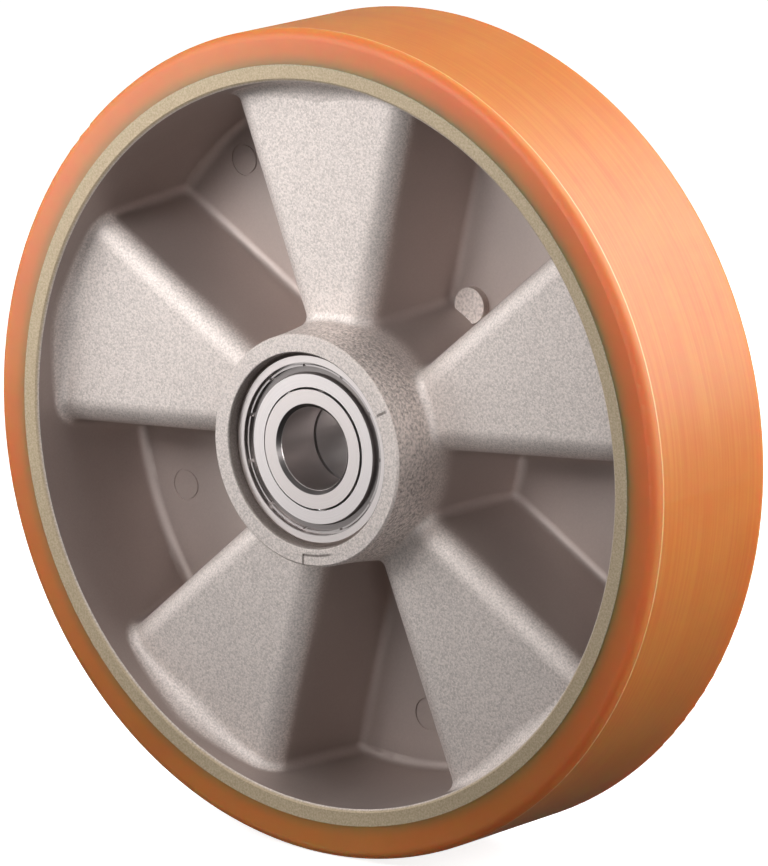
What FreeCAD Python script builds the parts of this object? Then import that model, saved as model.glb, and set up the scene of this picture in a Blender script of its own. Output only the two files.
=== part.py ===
import FreeCAD, Part
import math
import os

# Castor wheel: polyurethane tread bonded to a cast aluminium centre that runs on two ball bearings.
# Millimetres and degrees. The axle is Y through the origin, the front face looks along -Y and Z is up.

# Wheel and tread
wheel_diameter = 200.0
wheel_width = 44.0
tread_thickness = 8.4
tread_shoulder_radius = 2.6
tread_sidewall_setback = 0.5

# Cast centre: rim and hub
rim_lip = 4.0
rim_draft = 4.0
rim_edge_break = 0.7
hub_length = 53.0
hub_face_diameter = 56.0
hub_draft = 4.5
hub_root_flare = 6.5
hub_edge_break = 0.5

# Cast centre: closed web that folds from front spokes to back spokes, pockets between them
spoke_count = 5
spoke_phase = 22.3
spoke_half_angle = 17.7
front_spoke_drop = 8.0
back_spoke_drop = 4.0
spoke_edge_radius = 6.0
web_thickness = 4.5
wall_draft = 11.0
spoke_end_fillet = 6.0
corner_fillet = 2.5
floor_fillet = 2.5

# Ejector pin marks on the front pocket floors: radius and turn from +X of each sunk ring and of the pad
sunk_marks = [(77.5, 131.2), (74.3, 199.8), (71.5, 274.6)]
sunk_mark_diameter = 8.0
sunk_mark_width = 0.5
sunk_mark_depth = 0.3
pad_radius = 37.0
pad_turn = 58.3
pad_diameter = 8.8
pad_height = 2.0

# Deep groove ball bearings, 20 x 47 x 14
bearing_bore = 20.0
bearing_outside = 47.0
bearing_width = 14.0
bearing_recess = 2.5
ring_chamfer = 1.0
pitch_diameter = 33.5
inner_race_depth = 1.64
outer_race_depth = 1.54
ball_diameter = 7.938
ball_count = 8
ball_clearance = 0.02
groove_conformity = 1.04

# Ribbon cage, riveted from two halves
cage_width = 2.7
cage_sheet = 0.8
cage_pocket_clearance = 0.12
rivet_diameter = 1.2
rivet_head_diameter = 1.9
rivet_head_height = 0.45

# Stamped shields, crimped into the outer ring
shield_sheet = 0.4
shield_gap = 0.5
shield_face_depth = 0.3
shield_flange_depth = 1.5
shield_flange_width = 1.4
shield_slope = 0.4
shield_seat_step = 1.55
shield_lip_inset = 0.5
shield_lip_depth = 0.7
shield_notch_count = 11
shield_notch_width = 0.9

# Bearing stop in the hub, and the distance tube between the inner rings
hub_land_diameter = 41.0
seat_chamfer = 0.4
tube_bore_clearance = 0.01
tube_wall = 3.0

# Sizes that follow
tread_radius = wheel_diameter / 2
rim_half = wheel_width / 2
hub_half = hub_length / 2
bond_radius = tread_radius - tread_thickness
rim_inner_radius = bond_radius - rim_lip
hub_face_radius = hub_face_diameter / 2
front_top = rim_half - front_spoke_drop
back_top = rim_half - back_spoke_drop
front_floor = back_top - web_thickness
pocket_depth = front_top + front_floor
spoke_pitch = 360.0 / spoke_count
bearing_face = hub_half - bearing_recess
bearing_centre = bearing_face - bearing_width / 2
land_half = bearing_face - bearing_width
seat_radius = bearing_outside / 2
ball_radius = ball_diameter / 2
pitch_radius = pitch_diameter / 2
inner_shoulder = pitch_radius - ball_radius - ball_clearance + inner_race_depth
outer_shoulder = pitch_radius + ball_radius + ball_clearance - outer_race_depth
shield_seat = outer_shoulder + shield_seat_step

origin = FreeCAD.Vector(0, 0, 0)
axle = FreeCAD.Vector(0, 1, 0)


def point(radius, along):
    """A point of a turned profile: radius from the axle and place along it."""
    return FreeCAD.Vector(radius, along, 0)


def turned(edges, start=0.0, sweep=360.0):
    """Solid of revolution about the axle from the closed profile that these edges make."""
    face = Part.Face(Part.Wire(edges))
    face.rotate(origin, axle, start)
    return face.revolve(origin, axle, sweep)


def path(points):
    """Straight edges joining the points in turn."""
    return [Part.LineSegment(a, b).toShape() for a, b in zip(points, points[1:])]


def turned_outline(points):
    """Solid of revolution from the corners of its section, given as radius and place along the axle."""
    return turned(path([point(r, y) for r, y in points + points[:1]]))


def about_axle(shape, degrees):
    """Copy turned about the axle, from +X towards +Z."""
    copy = shape.copy()
    copy.rotate(origin, axle, -degrees)
    return copy


def front_to_back(shape):
    return shape.mirror(origin, axle)


def rounded(before, corner, after, radius):
    """Start, middle and end of the arc that rounds a corner between its two neighbours."""
    back = before.sub(corner).normalize()
    ahead = after.sub(corner).normalize()
    half = back.getAngle(ahead) / 2
    inward = back.add(ahead).normalize()
    start = corner.add(back * (radius / math.tan(half)))
    end = corner.add(ahead * (radius / math.tan(half)))
    middle = corner.add(inward * (radius / math.sin(half) - radius))
    return start, middle, end


def made_tread():
    """Polyurethane ring cast round the rim, with rounded shoulders."""
    foot = point(bond_radius, rim_half)
    corner = point(tread_radius, rim_half - tread_sidewall_setback)
    start, middle, end = rounded(foot, corner, point(tread_radius, 0), tread_shoulder_radius)
    front = [point(p.x, -p.y) for p in (foot, start, middle, end)]
    edges = path([front[1], front[0], foot, start]) + path([end, front[3]])
    edges.append(Part.Arc(start, middle, end).toShape())
    edges.append(Part.Arc(*front[1:]).toShape())
    return turned(Part.sortEdges(edges)[0])


def spoke_side_space(top, hand):
    """Space above one side of a pocket: clear over the spoke, round its edge and down the drafted wall.

    Top is how far the spokes stand out from mid width, and hand is 1 or -1 for the pocket's two sides."""
    reach = wheel_diameter
    below = pocket_depth + spoke_edge_radius
    lean = below * math.tan(math.radians(wall_draft))

    def place(across, along):
        return FreeCAD.Vector(0, along, hand * across)

    foot = place(-lean, below - top)
    far = place(reach, -top)
    start, middle, end = rounded(foot, place(0, -top), far, spoke_edge_radius)
    outside = [place(reach, -reach), place(-reach, -reach), place(-reach, below - top)]
    edges = path([end, far] + outside + [foot, start])
    edges.append(Part.Arc(start, middle, end).toShape())
    space = Part.Face(Part.Wire(edges)).extrude(FreeCAD.Vector(reach, 0, 0))
    return about_axle(space, hand * (spoke_pitch / 2 - spoke_half_angle))


def rim_to_hub_space(top):
    """Ring of space between rim and hub for a pocket and half a spoke each side, down to the floor."""
    floor = pocket_depth - top
    slope = math.tan(math.radians(rim_draft))
    clear = -wheel_width
    hub_top = point(hub_face_radius, hub_edge_break - hub_half)
    hub_waist = point(hub_face_radius + (hub_half - top) * math.tan(math.radians(hub_draft)), -top)
    hub_foot = point(hub_face_radius + hub_root_flare, floor)
    edges = path([
        hub_foot,
        point(rim_inner_radius - slope * (rim_half + floor), floor),
        point(rim_inner_radius - slope * rim_edge_break, rim_edge_break - rim_half),
        point(rim_inner_radius + rim_edge_break, -rim_half),
        point(rim_inner_radius + rim_edge_break, clear),
        point(hub_face_radius - hub_edge_break, clear),
        point(hub_face_radius - hub_edge_break, -hub_half),
        hub_top,
    ])
    edges.append(Part.Arc(hub_top, hub_waist, hub_foot).toShape())
    return turned(edges, -spoke_pitch / 2, spoke_pitch)


def is_rim(face):
    return isinstance(face.Surface, Part.Cone)


def is_hub(face):
    return isinstance(face.Surface, Part.Toroid)


def is_level(face):
    """True for a flat face square to the axle, such as a spoke top or a pocket floor."""
    return isinstance(face.Surface, Part.Plane) and abs(face.Surface.Axis.dot(axle)) > 0.999


def is_web_side(face):
    """True for spoke tops, their rounded edges and the pocket walls."""
    if isinstance(face.Surface, Part.Cylinder):
        return abs(face.Surface.Axis.dot(axle)) < 0.5
    if not isinstance(face.Surface, Part.Plane):
        return False
    return abs(face.Surface.Axis.dot(axle)) > 0.1 and face.CenterOfMass.y > -rim_half


def edges_between(shape, one, other):
    """Edges where a face of one kind meets a face of the other kind."""
    found = []
    for edge in shape.Edges:
        faces = shape.ancestorsOfType(edge, Part.Face)
        if any(one(a) and other(b) for a in faces for b in faces if not a.isSame(b)):
            found.append(edge)
    return found


def made_pocket(top):
    """Space of one pocket with its two half spokes, rounded where web meets rim, hub and floor.

    The round where a spoke runs into the rim is broad, and narrows on its way down the pocket's corner."""
    space = rim_to_hub_space(top)
    for hand in (1, -1):
        space = space.common(spoke_side_space(top, hand))
    space = space.removeSplitter()

    def is_top(face):
        return is_level(face) and abs(face.CenterOfMass.y + top) < 1e-6

    def is_floor(face):
        return is_level(face) and abs(face.CenterOfMass.y - (pocket_depth - top)) < 1e-6

    def is_side(face):
        return is_web_side(face) and not is_floor(face)

    broad = min(spoke_end_fillet, 0.9 * (rim_half - rim_edge_break - top))
    narrow = min(corner_fillet, broad)
    for hand in (1, -1):
        end = [edge for edge in edges_between(space, is_top, is_rim) if edge.CenterOfMass.z * hand > 0][0]
        outward = abs(end.Vertexes[0].Z) < abs(end.Vertexes[-1].Z)
        radii = (narrow, broad) if outward else (broad, narrow)
        space = space.makeFillet(*radii, [end])
    space = space.makeFillet(narrow, edges_between(space, is_side, is_hub))
    floor = [face for face in space.Faces if is_floor(face)]
    return space.makeFillet(min(floor_fillet, narrow), floor[0].Edges)


def turned_mark(radius, depth, out):
    """Disc that goes down into a front pocket's floor, this far out from the axle along X."""
    return Part.makeCylinder(radius, depth, FreeCAD.Vector(out, front_floor, 0), axle)


def made_blank():
    """Turned blank of the centre: rim and web as one disc, hub with its bearing seats and stop."""
    land = hub_land_diameter / 2
    half = [
        (land, land_half), (seat_radius, land_half), (seat_radius, hub_half - seat_chamfer),
        (seat_radius + seat_chamfer, hub_half), (hub_face_radius + hub_root_flare, hub_half),
        (hub_face_radius + hub_root_flare, rim_half), (bond_radius, rim_half),
    ]
    return turned_outline(half + [(r, -y) for r, y in reversed(half)])


def made_centre():
    """The one-piece casting: blank less five pockets in front and, half a pitch on, five behind."""
    centre = made_blank()
    pocket = made_pocket(front_top)
    behind = front_to_back(made_pocket(back_top))
    for n in range(spoke_count):
        spoke = spoke_phase + n * spoke_pitch
        centre = centre.cut(about_axle(pocket, spoke + spoke_pitch / 2))
        centre = centre.cut(about_axle(behind, spoke))
    for radius, turn in sunk_marks:
        ring = turned_mark(sunk_mark_diameter / 2, sunk_mark_depth, radius)
        core = turned_mark(sunk_mark_diameter / 2 - sunk_mark_width, sunk_mark_depth, radius)
        centre = centre.cut(about_axle(ring.cut(core), turn))
    pad = turned_mark(pad_diameter / 2, pad_height + web_thickness / 2, pad_radius)
    pad.translate(axle * -pad_height)
    centre = centre.fuse(about_axle(pad, pad_turn))
    return centre.removeSplitter()


def made_outer_ring():
    groove = ball_radius * groove_conformity
    race_centre = pitch_radius + ball_radius + ball_clearance - groove
    half_race = math.sqrt(groove ** 2 - (outer_shoulder - race_centre) ** 2)
    seat_floor = bearing_width / 2 - shield_flange_depth - shield_sheet
    face = bearing_width / 2
    corner = face - ring_chamfer
    side = [
        (outer_shoulder, half_race), (outer_shoulder, seat_floor), (shield_seat, seat_floor),
        (shield_seat, face), (seat_radius - ring_chamfer, face), (seat_radius, corner),
    ]
    points = [point(r, y) for r, y in side + [(r, -y) for r, y in reversed(side)]]
    edges = path(points)
    edges.append(Part.Arc(points[-1], point(race_centre + groove, 0), points[0]).toShape())
    return turned(edges)


def made_inner_ring():
    groove = ball_radius * groove_conformity
    race_centre = pitch_radius - ball_radius - ball_clearance + groove
    half_race = math.sqrt(groove ** 2 - (race_centre - inner_shoulder) ** 2)
    bore = bearing_bore / 2
    face = bearing_width / 2
    corner = face - ring_chamfer
    side = [
        (inner_shoulder, half_race), (inner_shoulder, face), (bore + ring_chamfer, face), (bore, corner),
    ]
    points = [point(r, y) for r, y in side + [(r, -y) for r, y in reversed(side)]]
    edges = path(points)
    edges.append(Part.Arc(points[-1], point(race_centre - groove, 0), points[0]).toShape())
    return turned(edges)


def made_shield():
    """Shield of a bearing's front side: flat face, step down to the flange and a notched, curled lip."""
    face = -bearing_width / 2
    inner = inner_shoulder + shield_gap
    lip = shield_seat - shield_lip_inset
    step = lip - shield_sheet - shield_flange_width
    bend = step - shield_slope
    flat = face + shield_face_depth
    flange = face + shield_flange_depth
    lip_top = face + shield_lip_depth
    shield = turned_outline([
        (inner, flat), (bend, flat), (step, flange), (lip - shield_sheet, flange),
        (lip - shield_sheet, lip_top), (lip, lip_top), (lip, flange), (shield_seat, flange),
        (shield_seat, flange + shield_sheet), (step - shield_sheet, flange + shield_sheet),
        (bend - shield_sheet, flat + shield_sheet), (inner, flat + shield_sheet),
    ])
    notch = Part.makeBox(2 * shield_sheet, flange - lip_top, shield_notch_width,
                         FreeCAD.Vector(lip - 1.5 * shield_sheet, lip_top, -shield_notch_width / 2))
    for n in range(shield_notch_count):
        shield = shield.cut(about_axle(notch, n * 360.0 / shield_notch_count))
    return shield


def ball_place(n):
    turn = math.radians(n * 360.0 / ball_count)
    return FreeCAD.Vector(pitch_radius * math.cos(turn), 0, pitch_radius * math.sin(turn))


def pocket_ball(radius, n):
    """Ball-shaped tool at the n-th ball, its poles on the radial line and its seam away from the front."""
    turn = FreeCAD.Rotation(FreeCAD.Vector(1, 1, 1), 120)
    tool = Part.makeSphere(radius)
    tool.Placement = FreeCAD.Placement(FreeCAD.Vector(pitch_radius, 0, 0), turn)
    return about_axle(tool, n * 360.0 / ball_count)


def rivet_shank():
    """Shank through both cage halves, on the pitch circle along X."""
    foot = FreeCAD.Vector(pitch_radius, -cage_sheet, 0)
    return Part.makeCylinder(rivet_diameter / 2, 2 * cage_sheet, foot, axle)


def made_cage_half():
    """Front half of the ribbon cage: a flat ring that bulges over each ball, rivet holes between."""
    inside = ball_radius + cage_pocket_clearance
    tall = inside + 2 * cage_sheet
    low = pitch_radius - cage_width / 2
    high = pitch_radius + cage_width / 2
    band = turned_outline([(low, -tall), (high, -tall), (high, 0), (low, 0)])
    half = turned_outline([(low, -cage_sheet), (high, -cage_sheet), (high, 0), (low, 0)])
    for n in range(ball_count):
        half = half.fuse(pocket_ball(inside + cage_sheet, n).common(band))
    for n in range(ball_count):
        half = half.cut(pocket_ball(inside, n))
        half = half.cut(about_axle(rivet_shank(), (n + 0.5) * 360.0 / ball_count))
    return half.removeSplitter()


def made_rivets():
    """The cage's rivets, each a shank through both halves with a head on either side."""
    rivet = rivet_shank()
    for hand in (1, -1):
        seat = FreeCAD.Vector(pitch_radius, hand * cage_sheet, 0)
        rivet = rivet.fuse(Part.makeCone(rivet_head_diameter / 2, rivet_diameter / 2, rivet_head_height,
                                         seat, axle * hand))
    rivet = rivet.removeSplitter()
    turns = [(n + 0.5) * 360.0 / ball_count for n in range(ball_count)]
    return Part.makeCompound([about_axle(rivet, turn) for turn in turns])


def made_distance_tube():
    bore = bearing_bore / 2 + tube_bore_clearance
    outside = bore + tube_wall
    return turned_outline([
        (bore, -land_half), (outside, -land_half), (outside, land_half), (bore, land_half),
    ])


def bearing_pieces():
    """The pieces of the front bearing by name, in its place."""
    shield = made_shield()
    cage_half = made_cage_half()
    pieces = {
        "outer_ring": made_outer_ring(),
        "inner_ring": made_inner_ring(),
        "outer_shield": shield,
        "inner_shield": front_to_back(shield),
        "outer_cage_half": cage_half,
        "inner_cage_half": front_to_back(cage_half),
        "cage_rivets": made_rivets(),
    }
    for n in range(ball_count):
        pieces["ball_" + str(n + 1)] = Part.makeSphere(ball_radius, ball_place(n), axle)
    for piece in pieces.values():
        piece.translate(FreeCAD.Vector(0, -bearing_centre, 0))
    return pieces


parts = {"wheel_centre": made_centre(), "tread": made_tread(), "distance_tube": made_distance_tube()}
for name, piece in bearing_pieces().items():
    parts["front_" + name] = piece
    parts["rear_" + name] = front_to_back(piece)

os.makedirs("parts", exist_ok=True)
for node, shape in parts.items():
    shape.exportStep("parts/" + node + ".step")
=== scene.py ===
import bpy
import math
from mathutils import Matrix, Vector


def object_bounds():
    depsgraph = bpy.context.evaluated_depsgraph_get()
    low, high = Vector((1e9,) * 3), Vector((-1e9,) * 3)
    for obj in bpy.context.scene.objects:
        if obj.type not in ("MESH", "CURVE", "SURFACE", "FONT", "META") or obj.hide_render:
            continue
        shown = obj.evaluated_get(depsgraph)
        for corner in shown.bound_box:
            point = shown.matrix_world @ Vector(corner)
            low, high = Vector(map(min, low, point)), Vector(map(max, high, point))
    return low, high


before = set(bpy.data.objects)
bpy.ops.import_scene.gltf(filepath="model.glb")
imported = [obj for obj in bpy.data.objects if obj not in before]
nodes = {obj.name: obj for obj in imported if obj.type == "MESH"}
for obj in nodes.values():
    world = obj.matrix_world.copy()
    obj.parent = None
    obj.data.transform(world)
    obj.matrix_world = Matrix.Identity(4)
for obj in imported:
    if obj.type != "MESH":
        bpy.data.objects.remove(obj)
cad_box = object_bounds()


# Wheel centre: one aluminium die casting with rim, closed corrugated web and hub, blasted after casting.
# Faces that look along the axle sparkle; drafted walls stay smoother and darker, partly as painted shade; hub
# flank and raised pad glitter.
# A nick and a trim mark are left on the face of the hub, and a film of bonding agent on the face of the rim.
class Flow:
    """A shader socket that takes part in sums: each sum adds the Math node that it needs."""

    def __init__(self, tree, socket=None):
        self.tree = tree
        self.socket = socket

    def node(self, kind, settings, inputs, output=0):
        """Add any other node: its type, its settings, then the values or links of its sockets."""
        made = self.tree.nodes.new(kind)
        for name, value in settings.items():
            setattr(made, name, value)
        for key, value in inputs.items():
            if isinstance(value, Flow):
                self.tree.links.new(value.socket, made.inputs[key])
            else:
                made.inputs[key].default_value = value
        return Flow(self.tree, made.outputs[output])

    def also(self, output):
        """Another output of the same node."""
        return Flow(self.tree, self.socket.node.outputs[output])

    def maths(self, operation, *values):
        return self.node("ShaderNodeMath", {"operation": operation}, dict(enumerate(values)))

    def __add__(self, other):
        return self.maths("ADD", self, other)

    def __sub__(self, other):
        return self.maths("SUBTRACT", self, other)

    def __rsub__(self, other):
        return self.maths("SUBTRACT", other, self)

    def __mul__(self, other):
        return self.maths("MULTIPLY", self, other)

    def __pow__(self, other):
        return self.maths("POWER", self, other)

    def __abs__(self):
        return self.maths("ABSOLUTE", self)

    __radd__ = __add__
    __rmul__ = __mul__

    def span(self, low, high, start=0.0, end=1.0):
        """Smooth step from start to end as the value goes from low to high."""
        settings = {"interpolation_type": "SMOOTHSTEP"}
        return self.node("ShaderNodeMapRange", settings, {0: self, 1: low, 2: high, 3: start, 4: end})

    def fade(self, low, high):
        """Smooth step down from 1 to 0 as the value goes from low to high."""
        return self.span(low, high, 1, 0)

    def tint(self, first, second):
        """Colour mixed from first to second by this value."""
        return self.node("ShaderNodeMix", {"data_type": "RGBA"}, {0: self, 6: first, 7: second}, 2)


def new_finish(name, **fixed):
    """Material whose shader has the sockets set that are the same all over."""
    material = bpy.data.materials.new(name)
    material.use_nodes = True
    shader = material.node_tree.nodes["Principled BSDF"]
    for socket, value in fixed.items():
        shader.inputs[socket.replace("_", " ")].default_value = value
    return material


def feed(material, **flows):
    """Link what varies over the surface to the material's shader."""
    tree = material.node_tree
    shader = tree.nodes["Principled BSDF"]
    for socket, flow in flows.items():
        tree.links.new(flow.socket, shader.inputs[socket.replace("_", " ")])


def wheel_places(spot):
    """Radius from the axle and place along it in millimetres, and turn about it in radians, at each point."""
    millimetres = 1000
    x = spot.node("ShaderNodeSeparateXYZ", {}, {0: spot}, 0)
    y, z = x.also(1), x.also(2)
    radius = (x * x + z * z) ** 0.5 * millimetres
    return radius, y * millimetres, x.maths("ARCTAN2", z, x)


def clothe(material, *names):
    """Give the named nodes this material alone."""
    for name in names:
        mesh = nodes[name].data
        mesh.materials.clear()
        mesh.materials.append(material)


blasted = new_finish("blasted_casting", Metallic=1.0)
flow = Flow(blasted.node_tree)
spot = flow.node("ShaderNodeTexCoord", {}, {}, "Object")
radius, along, turn = wheel_places(spot)
normal = flow.node("ShaderNodeTexCoord", {}, {}, "Normal")
facing = flow.node("ShaderNodeSeparateXYZ", {}, {0: normal}, 1)
noise_mean = 0.5
grain = flow.node("ShaderNodeTexNoise", {}, {
    "Vector": spot, "Scale": 2100.0, "Detail": 2.0, "Roughness": 0.6})
cloud = flow.node("ShaderNodeTexNoise", {}, {
    "Vector": spot, "Scale": 60.0, "Detail": 3.0, "Roughness": 0.55})
specks = flow.node("ShaderNodeTexNoise", {}, {"Vector": spot, "Scale": 1300.0, "Detail": 1.0})

# Open faces of the spokes, hub and rim, against the walls between them. Bands run from low to high:
# radii and places along the axle in millimetres, front is minus; a tilt of -1 looks straight to the front.
spoke_bend, spoke_lean = (40.0, 60.0), 0.4
hub_foot, hub_lean = (36.0, 40.0), 0.6
front_level, front_tilt = (-12.0, -7.0), (-0.1, 0.3)
back_level, back_tilt = (11.0, 16.0), (-0.3, 0.1)
rim_wall = (78.0, 85.0)
# Walls are darker than open faces: partly their smoother as-cast skin, partly painted shade, with more
# painted shade on the rim walls.
wall_skin_and_shade, rim_wall_painted_shade, open_light = 0.6, 0.09, 0.88
wall_sparkle, open_sparkle, cloud_depth = 0.08, 0.8, 0.1
steepness = spoke_lean * radius.span(*spoke_bend)
hub_side = hub_lean * radius.fade(*hub_foot)
front_skin = along.fade(*front_level) * (facing + steepness - hub_side).fade(*front_tilt)
back_skin = along.span(*back_level) * (facing - steepness + hub_side).span(*back_tilt)
open_skin = front_skin + back_skin
skin = (wall_skin_and_shade - rim_wall_painted_shade * radius.span(*rim_wall)) * (1 - open_skin) + open_light * open_skin
skin = skin + (grain - noise_mean) * (wall_sparkle + open_sparkle * open_skin)
skin = skin + (cloud - noise_mean) * cloud_depth

# Nick and trim mark on the front face of the hub, as dark lines. Turns are in radians from +X.
hub_face_edge, hub_face_level = (28.1, 28.3), (-26.3, -26.2)
line_side, scar_depth = (0.2, 0.45), 0.6
nick_turn, nick_start, nick_end = 0.485, (24.3, 24.6), (27.0, 27.8)
trim_turn, trim_start = -1.6, (25.0, 25.3)
arc_radius, arc_side, arc_start, arc_end = 25.2, (0.15, 0.4), (-1.61, -1.59), (-1.3, -1.22)
on_hub = radius.fade(*hub_face_edge) * along.fade(*hub_face_level)
nick = abs((turn - nick_turn) * radius).fade(*line_side) * radius.span(*nick_start) * radius.fade(*nick_end)
trim_side = abs((turn - trim_turn) * radius).fade(*line_side) * radius.span(*trim_start)
trim_arc = abs(radius - arc_radius).fade(*arc_side) * turn.span(*arc_start) * turn.fade(*arc_end)
scars = on_hub * (nick + trim_side + trim_arc) * scar_depth

# Glittering flank of the hub and raised pad on a pocket floor, and the shaded recess of the bearings
flank_start, flank_end = (26.0, 26.5), (36.0, 44.0)
flank_tilt, flank_level = (-0.6, -0.4), (-17.0, -11.0)
pad_radius, pad_turn, pad_edge = 37.0, 1.0175, (4.2, 4.6)
pad_level, pad_tilt = (12.5, 13.2), (-0.95, -0.85)
recess_edge, recess_shade = (23.6, 23.9), 0.6
flank_glitter, flank_shade = 1.1, 0.6
pad_glitter, pad_shade = 0.9, 0.15
flank = radius.span(*flank_start) * radius.fade(*flank_end)
flank = flank * facing.span(*flank_tilt) * along.fade(*flank_level)
pad_spread = (((turn - pad_turn) * radius) ** 2 + (radius - pad_radius) ** 2) ** 0.5
pad = pad_spread.fade(*pad_edge) * along.fade(*pad_level) * facing.fade(*pad_tilt)
recess = radius.fade(*recess_edge)
skin = skin + flank * (flank_glitter * specks - flank_shade) + pad * (pad_glitter * specks - pad_shade)
skin = skin * (1 - scars) * (1 - recess_shade * recess)

# Colours, with a warm tint painted on the walls for the bounced light in their shade, film on the rim and
# roughness
deep_shade = (0.04, 0.015, 0.0, 1)
warm_shade_metal, open_metal = (0.91, 0.80, 0.76, 1), (0.90, 0.83, 0.795, 1)
film_dark, film_light = (0.48, 0.375, 0.24, 1), (0.68, 0.56, 0.40, 1)
film_start, film_level = (87.4, 88.0), (21.0, 21.8)
film_grain, film_cover = (0.2, 0.8), 0.75
wall_relief, open_relief, flank_relief = 0.15, 0.85, 5.0
wall_roughness, open_roughness, cloud_roughness = 0.64, 0.06, 0.12
metal = skin.tint(deep_shade, (open_skin + pad).tint(warm_shade_metal, open_metal))
on_rim = radius.span(*film_start) * abs(along).span(*film_level)
film = grain.span(*film_grain).tint(film_dark, film_light)
relief = grain * (wall_relief + open_relief * open_skin) + specks * flank * flank_relief
ridges = flow.node("ShaderNodeBump", {}, {"Strength": 0.35, "Distance": 0.0002, "Height": relief})
feed(blasted, Base_Color=on_rim.tint(metal, film),
     Roughness=wall_roughness + open_roughness * open_skin + cloud_roughness * (cloud - noise_mean),
     Metallic=1 - film_cover * on_rim, Normal=ridges)
clothe(blasted, "wheel_centre")


# Tread: polyurethane cast round the rim in a mould and turned to size, a translucent orange.
# Turning leaves fine streaks round the running face. A painted highlight runs along the front shoulder.
# Next to the rim, the orange is thin and browned by the bonding agent.
deep_orange, light_orange = (0.70, 0.186, 0.033, 1), (0.75, 0.285, 0.058, 1)
brown, highlight_orange = (0.48, 0.20, 0.055, 1), (0.95, 0.57, 0.27, 1)
running_face = (99.0, 99.8)
foot, foot_brown, side_wall = (91.8, 94.8), 0.55, (20.0, 21.0)
line_front, line_back, line_radius = (-19.4, -19.25), (-19.05, -18.9), (98.5, 99.0)
shoulder_level, shoulder_radius = (19.3, 19.6), (97.4, 97.8)
streak_round, streak_along, streak_deep = 1.6, 1.1, 0.25
noise_core, streak_depth, patch_depth = (0.3, 0.7), 0.75, 0.3
tread_roughness, shoulder_roughness, streak_roughness = 0.42, 0.16, 0.2
cast_orange = new_finish(
    "cast_polyurethane", Subsurface_Weight=1.0, Subsurface_Radius=(0.016, 0.0035, 0.001),
    Subsurface_Scale=1.0, IOR=1.5, Specular_IOR_Level=1.0)
flow = Flow(cast_orange.node_tree)
spot = flow.node("ShaderNodeTexCoord", {}, {}, "Object")
radius, along, turn = wheel_places(spot)
across = abs(along)
streak_place = flow.node("ShaderNodeCombineXYZ", {}, {
    0: turn * streak_round, 1: along * streak_along, 2: radius * streak_deep})
streaks = flow.node("ShaderNodeTexNoise", {}, {
    "Vector": streak_place, "Scale": 1.0, "Detail": 5.0, "Roughness": 0.62})
patches = flow.node("ShaderNodeTexNoise", {}, {
    "Vector": spot, "Scale": 45.0, "Detail": 3.0, "Roughness": 0.6})
on_face = radius.span(*running_face)
tone = streaks.span(*noise_core) * on_face * streak_depth + patches.span(*noise_core) * patch_depth
orange = tone.tint(deep_orange, light_orange)
thin_foot = radius.span(*foot, foot_brown, 0) * across.span(*side_wall)
browned = thin_foot.tint(orange, brown)
# Painted highlight: a pale line along the front shoulder.
painted_shoulder_highlight = along.span(*line_front) * along.fade(*line_back) * radius.span(*line_radius)
shoulder = across.span(*shoulder_level) * radius.span(*shoulder_radius)
uneven = streak_roughness * (streaks - noise_mean) * on_face
feed(cast_orange, Base_Color=painted_shoulder_highlight.tint(browned, highlight_orange),
     Roughness=tread_roughness + shoulder_roughness * shoulder + uneven)
clothe(cast_orange, "tread")


# Distance tube: plain steel tube, turned to length, that shows in the bore.
# It slides on the axle between the two inner rings and keeps them apart when the axle nut is tightened.
turned_steel = new_finish("turned_tube", Metallic=1.0, Roughness=0.45, Base_Color=(0.62, 0.58, 0.57, 1))
clothe(turned_steel, "distance_tube")


# Bearing rings: hardened steel, turned and then ground all over, so light draws out round the axle.
# The outer rings are pressed into the hub and the inner rings sit on the axle.
# The broken edge of the bore and the edge that holds the shield are painted dark, as shade.
shaded_edge_steel = (0.05, 0.045, 0.045, 1)
dark_ring, light_ring = (0.70, 0.64, 0.625, 1), (0.88, 0.81, 0.79, 1)
bore_start, bore_end, bore_shade = (10.05, 10.15), (10.9, 11.1), 0.85
seat_start, seat_end, seat_shade = (20.0, 20.3), (20.8, 21.0), 0.4
line_fineness, line_turn = 9.0, 0.4
steel_roughness, line_roughness = 0.3, 0.12
ground = new_finish("ground_rings", Metallic=1.0)
flow = Flow(ground.node_tree)
radius, along, turn = wheel_places(flow.node("ShaderNodeTexCoord", {}, {}, "Object"))
lap = flow.node("ShaderNodeCombineXYZ", {}, {
    0: radius * line_fineness, 1: along * line_fineness, 2: turn * line_turn})
lines = flow.node("ShaderNodeTexNoise", {}, {"Vector": lap, "Scale": 1.0, "Detail": 3.0})
scored = flow.node("ShaderNodeBump", {}, {"Strength": 0.05, "Distance": 0.00005, "Height": lines})
bright = lines.tint(dark_ring, light_ring)
# Painted shade on the bore's broken edge and on the shield seat.
bore_edge = radius.span(*bore_start) * radius.fade(*bore_end)
seat_edge = radius.span(*seat_start) * radius.fade(*seat_end)
painted_edge_shade = bore_edge * bore_shade + seat_edge * seat_shade
feed(ground, Base_Color=painted_edge_shade.tint(bright, shaded_edge_steel),
     Roughness=steel_roughness + line_roughness * lines, Normal=scored)
clothe(ground, "front_outer_ring", "front_inner_ring", "rear_outer_ring", "rear_inner_ring")


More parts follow.
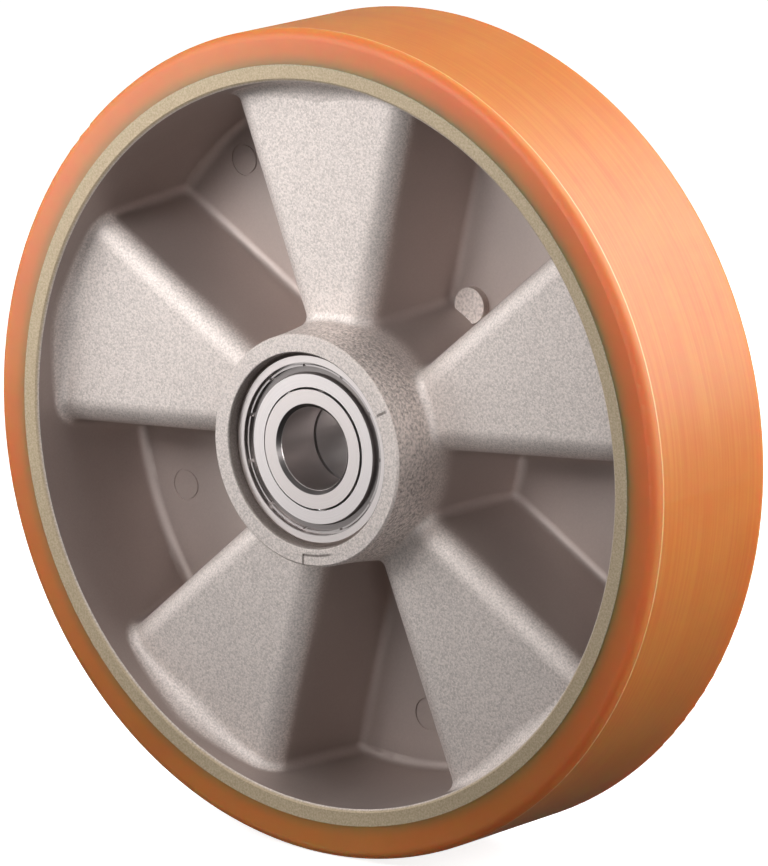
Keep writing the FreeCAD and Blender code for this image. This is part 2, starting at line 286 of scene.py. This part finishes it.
# Shields: stamped from bright cold-rolled strip and crimped into the outer rings.
# The groove round the crimped edge lies in shade.
dark_strip, light_strip = (0.72, 0.67, 0.66, 1), (0.90, 0.84, 0.83, 1)
groove_shade = (0.27, 0.245, 0.24, 1)
groove_start, groove_end, edge_gain = (18.0, 18.3), (19.8, 19.9), 0.5
line_fineness, line_turn = 5.0, 0.8
stamped = new_finish("stamped_shields", Metallic=1.0)
flow = Flow(stamped.node_tree)
radius, along, turn = wheel_places(flow.node("ShaderNodeTexCoord", {}, {}, "Object"))
lap = flow.node("ShaderNodeCombineXYZ", {}, {
    0: radius * line_fineness, 1: along * line_fineness, 2: turn * line_turn})
lines = flow.node("ShaderNodeTexNoise", {}, {"Vector": lap, "Scale": 1.0, "Detail": 4.0})
bright = lines.tint(dark_strip, light_strip)
groove = radius.span(*groove_start) * (1 - edge_gain * radius.span(*groove_end))
feed(stamped, Base_Color=groove.tint(bright, groove_shade),
     Roughness=steel_roughness + line_roughness * lines)
clothe(stamped, "front_outer_shield", "front_inner_shield", "rear_outer_shield", "rear_inner_shield")


# Balls and ribbon cages: eight lapped steel balls run between the rings of each bearing.
# The cage that spaces them is pressed from steel strip in two halves, which small rivets hold together.
balls_per_bearing = 8
lapped = new_finish("lapped_balls", Metallic=1.0, Roughness=0.08, Base_Color=(0.78, 0.78, 0.78, 1))
pressed = new_finish("pressed_cages", Metallic=1.0, Roughness=0.35, Base_Color=(0.5, 0.48, 0.46, 1))
for side in ("front", "rear"):
    clothe(pressed, side + "_outer_cage_half", side + "_inner_cage_half", side + "_cage_rivets")
    clothe(lapped, *[side + "_ball_" + str(n) for n in range(1, balls_per_bearing + 1)])


# Stage: a plain white floor under the tread that glows evenly and throws no light on the wheel.
# A dark table with a faint glow lies just below it and is what the wheel mirrors.
def stage_sheet(name, height, material):
    """Flat square sheet, centred under the wheel."""
    reach = 30.0
    corners = [(-reach, -reach, height), (reach, -reach, height),
               (reach, reach, height), (-reach, reach, height)]
    mesh = bpy.data.meshes.new(name)
    mesh.from_pydata(corners, [], [(0, 1, 2, 3)])
    mesh.materials.append(material)
    sheet = bpy.data.objects.new(name, mesh)
    bpy.context.scene.collection.objects.link(sheet)
    return sheet


white = new_finish("white_floor", Base_Color=(0.85, 0.85, 0.85, 1), Roughness=0.9,
                   Emission_Color=(1, 1, 1, 1), Emission_Strength=0.8)
black = new_finish("black_table", Base_Color=(0.01, 0.01, 0.01, 1), Roughness=1.0,
                   Emission_Color=(1, 1, 1, 1), Emission_Strength=0.06)
floor_height = cad_box[0][2]
table_drop = 0.01
floor = stage_sheet("floor", floor_height, white)
floor.visible_glossy = False
floor.visible_diffuse = False
stage_sheet("table", floor_height - table_drop, black)


# Studio light: soft boxes at the front and left, bigger ones at the right and behind for the running face.
# Three small cards brighten the bearing, the right of the hub and the bottom of the tread.
# A dim, slightly warm room fills the shadows.
def soft_box(name, place, aim, width, height, watts, spread=180):
    """Area light at a place in metres, turned to its aim; the spread is in degrees."""
    data = bpy.data.lights.new(name, "AREA")
    data.shape = "RECTANGLE"
    data.size = width
    data.size_y = height
    data.energy = watts
    data.spread = math.radians(spread)
    lamp = bpy.data.objects.new(name, data)
    lamp.location = place
    lamp.rotation_euler = (Vector(aim) - Vector(place)).to_track_quat("-Z", "Y").to_euler()
    bpy.context.scene.collection.objects.link(lamp)


soft_box("front_box", (-0.10, -0.42, 0.25), (-0.04, 0, 0.08), width=0.2, height=0.2, watts=0.143, spread=52)
soft_box("left_box", (-0.25, -0.16, 0.095), (-0.05, 0, 0.06), width=0.2, height=0.24, watts=0.305)
soft_box("bearing_card", (-0.212, -0.288, -0.076), (0, -0.02, 0),
         width=0.12, height=0.12, watts=0.0028, spread=30)
soft_box("hub_card", (0.40, -0.36, 0.06), (0.0, -0.01, 0.0),
         width=0.12, height=0.12, watts=0.0085, spread=15)
soft_box("low_card", (0.03, -0.30, -0.084), (0.0, -0.022, -0.098),
         width=0.3, height=0.02, watts=0.003, spread=6)
soft_box("right_box", (0.70, 0.30, 0.50), (0.06, 0, 0), width=1.05, height=1.05, watts=11.5)
soft_box("back_box", (0.30, 0.72, 0.55), (0.05, 0, 0.02), width=0.6, height=0.5, watts=0.9)
room = bpy.data.worlds.new("room")
room.use_nodes = True
room_light = room.node_tree.nodes["Background"].inputs
room_light["Color"].default_value = (1.0, 0.97, 0.95, 1)
room_light["Strength"].default_value = 0.26
bpy.context.scene.world = room
bpy.context.scene.view_settings.view_transform = "Standard"


# Camera: a long lens two metres off, from the right of the front and a little above the axle.
# It slides two millimetres to the right and a touch down, so that the wheel stands in the photograph's frame.
azimuth = math.radians(38.4166)
elevation = math.radians(12.4877)
distance = 2.0
slide_right, slide_down = 0.002131, 0.000211
back = Vector((math.sin(azimuth) * math.cos(elevation),
               -math.cos(azimuth) * math.cos(elevation),
               math.sin(elevation)))
right = Vector((math.cos(azimuth), math.sin(azimuth), 0))
up = back.cross(right)
eye = back * distance + right * slide_right - up * slide_down
lens = bpy.data.cameras.new("camera")
lens.lens = 348.05
lens.sensor_width = 36.0
lens.clip_start = 0.05
lens.clip_end = 100.0
camera = bpy.data.objects.new("camera", lens)
camera.matrix_world = Matrix.Translation(eye) @ Matrix((right, up, back)).transposed().to_4x4()
bpy.context.scene.collection.objects.link(camera)
bpy.context.scene.camera = camera
